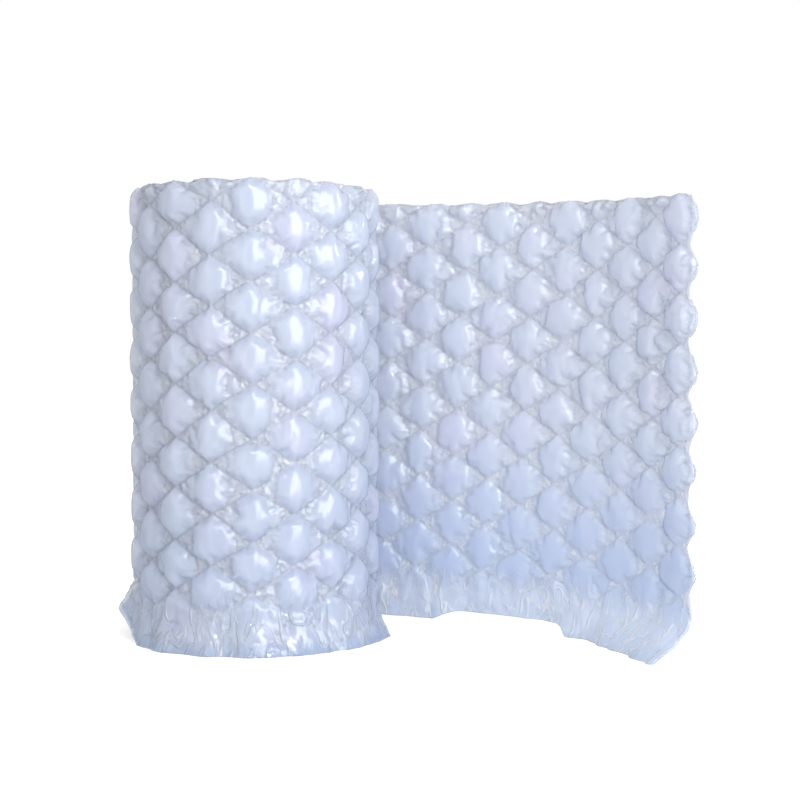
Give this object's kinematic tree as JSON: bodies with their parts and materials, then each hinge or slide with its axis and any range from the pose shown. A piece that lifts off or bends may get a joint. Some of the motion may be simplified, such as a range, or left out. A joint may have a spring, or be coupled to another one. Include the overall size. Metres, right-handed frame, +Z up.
{
  "type": "bubble film roll",
  "caption": "Roll of inflated quilted bubble cushioning film standing on its end, with a loose tail curving off its back and an unsealed hem flaring on the floor.",
  "frame": {"origin": "middle of the whole shape's footprint, on the floor that the hem stands on", "axes": "+Z up the roll, along its winding axis; +X from the roll towards the tail's free end; -Y towards the side that the tail curves to"},
  "size_m": [0.4448, 0.2494, 0.3602],
  "materials": {
    "film": "glossy"
  },
  "bodies": {
    "root": {"bubble_film": "film"}
  },
  "joints": []
}
